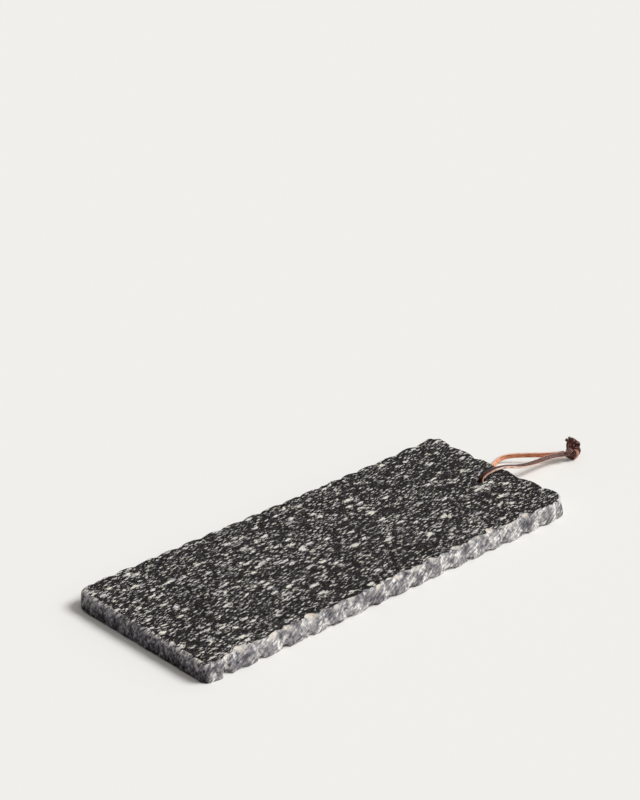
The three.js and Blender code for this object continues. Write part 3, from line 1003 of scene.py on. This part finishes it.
def top_chips(normal, flute, along, near_end):
    """Chips out of the top edge: where they are, how far in they reach and how far down."""
    where = hump(along, drawn(TOP_CHIP_CENTRE, flute + 0.3), drawn(TOP_CHIP_HALF, flute + 0.5))
    front = np.maximum(smoothstep(-normal[:, 1], *FRONT_TURN), NEAR_END_CHIPS * near_end)
    knocks = between(BACK_CHIPS, 1, front)
    reach = drawn(TOP_CHIP_REACH, flute + 0.7, TOP_CHIP_RARITY) * where * straightness(normal) * knocks
    return where, reach, drawn(TOP_CHIP_DROP, flute + 0.9)


def low_chips(place, flute, along):
    """Chips out of the bottom edge: how far in they reach and how far up."""
    where = hump(along, drawn(LOW_CHIP_CENTRE, flute + 1.3), drawn(LOW_CHIP_HALF, flute + 1.5))
    inland = smoothstep(LENGTH / 2 - np.abs(place[:, 0]), *LOW_CHIP_INLAND)
    return drawn(LOW_CHIP_REACH, flute + 1.7) * where * inland, drawn(LOW_CHIP_RISE, flute + 1.9)


def crushing(flute, along, near_end, deep_chip):
    """How far the stone is crushed white: beside the notches and in the deep chip."""
    to_notch = np.minimum(along, 1 - along) * FLUTE_PITCH
    beside = np.exp(-((to_notch / CRUSH_WIDTH) ** 2)) * drawn(CRUSH_STRENGTH, flute + 2.3)
    return np.maximum(beside * (1 - near_end), DEEP_CHIP_CRUSH * deep_chip)


def hewn(point):
    """How far a blow of the chisel has cut deeper than the rest at a point."""
    place = Vector(point) / HEWN_SIZE
    return HEWN_DEPTH * noise.hetero_terrain(place, HEWN_SMOOTHNESS, HEWN_FINER, HEWN_LAYERS, 0.0)


def slab_rings():
    """Rings of points up the stone's side, and the marks that the granite's colours follow."""
    place, normal, flute, along, share = slab_columns()
    near_end = smoothstep(-normal[:, 0], *NEAR_END_TURN)
    shaded_end = smoothstep(-normal[:, 0], *SHADED_END_TURN)
    depth = between(NOTCH_DEPTH, NOTCH_DEPTH_NEAR_END, near_end)
    notch = share * depth * (1 - np.sin(math.pi * along)) ** NOTCH_SHARPNESS
    batter = side_batter(place, normal, near_end)
    setback = between(ARRIS_SETBACK, NEAR_END_ARRIS, near_end)
    brow_drop = between(TOP_ARRIS, NEAR_END_ARRIS_DROP, near_end)
    top_chip, top_reach, top_drop = top_chips(normal, flute, along, near_end)
    low_reach, low_rise = low_chips(place, flute, along)
    deep_chip = hump(place[:, 0], DEEP_CHIP_SETBACK - LENGTH / 2, DEEP_CHIP_HALF) ** DEEP_CHIP_CURVE
    deep_chip *= -normal[:, 1] > DEEP_CHIP_FACING
    crushed = crushing(flute, along, near_end, deep_chip)

    heights = THICKNESS * (0.5 - 0.5 * np.cos(math.pi * np.arange(SIDE_LEVELS + 1) / SIDE_LEVELS))
    rings, marks = [], {label: [] for label in ("broken", "chipped", "bruised", "end_shade", "crushed")}
    for height in heights:
        lean = height / THICKNESS
        foot = falling(height, BOTTOM_ARRIS, ARRIS_CURVE)
        brow = falling(THICKNESS - height, brow_drop, ARRIS_CURVE)
        top_share = falling(THICKNESS - height, top_drop, TOP_CHIP_CURVE)
        low_share = falling(height, low_rise, LOW_CHIP_CURVE)
        inset = notch * between(NOTCH_FOOT, 1, lean) + lean * batter
        inset += ARRIS_SETBACK * foot + setback * brow
        inset += top_reach * top_share + low_reach * low_share
        inset += DEEP_CHIP_REACH * deep_chip * (1 - lean)
        ring = np.column_stack([place - normal * inset[:, None], np.full(len(place), height)])
        rough = np.array([hewn(point) for point in ring])
        ring[:, :2] -= normal * np.clip(rough, -HEWN_PROUD, None)[:, None]
        rings.append(ring)
        chips = top_share * top_chip
        worn = np.maximum(brow, chips)
        shown = np.clip(CHIP_MARK * chips + ARRIS_MARK * brow, 0, 1)
        # The near end, turned from the sun, gets less broken colour and more of the darker mottle:
        # painted shade
        marks["broken"].append(1 - shaded_end * between(SHADED_END_BROKEN_LOSS, 1, worn))
        marks["chipped"].append(shown * (1 - NEAR_END_CHIP_LOSS * near_end))
        marks["bruised"].append(near_end * worn)
        marks["end_shade"].append(SHADED_END_MARK * shaded_end * (1 - worn))
        marks["crushed"].append(crushed)
    return rings, marks


def inside(ring, inset):
    """A ring drawn in from the edge of a flat face."""
    core = np.array([LENGTH, WIDTH]) / 2 - FACE_MARGIN
    inward = np.clip(ring[:, :2], -core, core) - ring[:, :2]
    return np.column_stack([ring[:, :2] + unit(inward) * inset, ring[:, 2]])


def add_slab():
    """The stone, chiselled all round, with its hole and channel cut out."""
    rings, marks = slab_rings()
    count = len(rings[0])
    rings = [inside(rings[0], FACE_INSET), *rings, inside(rings[-1], FACE_INSET)]
    slab = make_piece("stone_slab", np.vstack(rings), skin(len(rings), count), [granite()])
    for label, values in marks.items():
        mark(slab, label, np.concatenate([np.zeros(count), *values, np.zeros(count)]))
    cut(slab, hole_cutter())
    cut(slab, channel_cutter())
    slab.data.shade_smooth()
    slab.data.set_sharp_from_angle(angle=SHARP_ANGLE)
    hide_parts("granite_slab")
    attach(slab, "board")


def cut(piece, cutter):
    """Takes the cutter's form out of the piece."""
    modifier = piece.modifiers.new("cut", "BOOLEAN")
    modifier.object = cutter
    modifier.operation = "DIFFERENCE"
    modifier.solver = "EXACT"
    graph = bpy.context.evaluated_depsgraph_get()
    result = bpy.data.meshes.new_from_object(piece.evaluated_get(graph))
    piece.modifiers.clear()
    piece.data = result
    bpy.data.objects.remove(cutter)


def prism(name, rings):
    """A closed form through rings of points."""
    return make_piece(name, np.vstack(rings), skin(len(rings), len(rings[0])), [])


def hole_cutter():
    radius = HOLE_DIAMETER / 2
    mouth = radius + HOLE_EASE
    angles = np.arange(HOLE_SIDES) * 2 * math.pi / HOLE_SIDES
    circle = np.stack([np.cos(angles), np.sin(angles), 0 * angles], 1)
    profile = [
        (mouth, -CUT_OVERSHOOT),
        (mouth, CHANNEL_DEPTH),
        (radius, CHANNEL_DEPTH + HOLE_EASE),
        (radius, THICKNESS - HOLE_EASE),
        (mouth + CUT_OVERSHOOT, THICKNESS + CUT_OVERSHOOT),
    ]
    return prism("hole", [circle * r + (*hole, z) for r, z in profile])


def channel_cutter():
    run = (HOLE_SETBACK + CHANNEL_HALF + CUT_OVERSHOOT) / math.cos(CHANNEL_HEADING)
    half_turn = np.linspace(math.pi / 2, math.pi * 1.5, CHANNEL_END_POINTS)
    outline = [(run, -CHANNEL_HALF), (run, CHANNEL_HALF)]
    outline += [(CHANNEL_HALF * math.cos(a), CHANNEL_HALF * math.sin(a)) for a in half_turn]
    heading = Matrix.Rotation(CHANNEL_HEADING, 2)
    outline = np.array([heading @ Vector(point) for point in outline]) + hole
    return prism("channel", [
        np.column_stack([outline, np.full(len(outline), z)]) for z in (-CUT_OVERSHOOT, CHANNEL_DEPTH)
    ])


# Table and light

def add_table():
    paint = Paint(bpy.data.materials.new("table"))
    table = paint.shade(base_color=linear(*PALE), roughness=1.0, specular_ior_level=0.0)
    reach = TABLE_REACH
    corners = [(-reach, -reach, 0), (reach, -reach, 0), (reach, reach, 0), (-reach, reach, 0)]
    make_piece("table", corners, [(0, 1, 2, 3)], [table])


def add_sun():
    sun = bpy.data.lights.new("sun", "SUN")
    sun.energy = SUN_STRENGTH
    sun.color = SUN_TINT
    sun.angle = math.radians(SUN_ANGLE)
    lamp = bpy.data.objects.new("sun", sun)
    lamp.rotation_euler = way_to(SUN_AZIMUTH, SUN_ELEVATION).to_track_quat("Z", "Y").to_euler()
    bpy.context.scene.collection.objects.link(lamp)


def add_world():
    """Soft light, stronger from the sun's side. What is seen of it is as pale as the table."""
    world = bpy.data.worlds.new("studio")
    bpy.context.scene.world = world
    paint = Paint(world)
    rays = paint.tree.nodes.new("ShaderNodeLightPath").outputs
    seen = paint.maths("MAXIMUM", rays["Is Camera Ray"], rays["Is Glossy Ray"])
    seen = paint.maths("MAXIMUM", seen, rays["Is Transmission Ray"])
    facing = paint.node(
        "ShaderNodeVectorMath", {0: paint.place("Generated"), 1: way_to(SUN_AZIMUTH, 0)},
        output="Value", operation="DOT_PRODUCT",
    )
    light = paint.span(facing, -1, 1, AMBIENT_DARK_SIDE, AMBIENT_LIGHT_SIDE)
    sky = paint.tree.nodes["Background"]
    paint.plug(sky.inputs["Color"], paint.mix(seen, AMBIENT_TINT, linear(*PALE)))
    paint.plug(sky.inputs["Strength"], paint.span(seen, 0, 1, light, 1))


add_camera()
add_thong()
add_slab()
add_table()
add_sun()
add_world()
bpy.context.scene.view_settings.view_transform = "Standard"
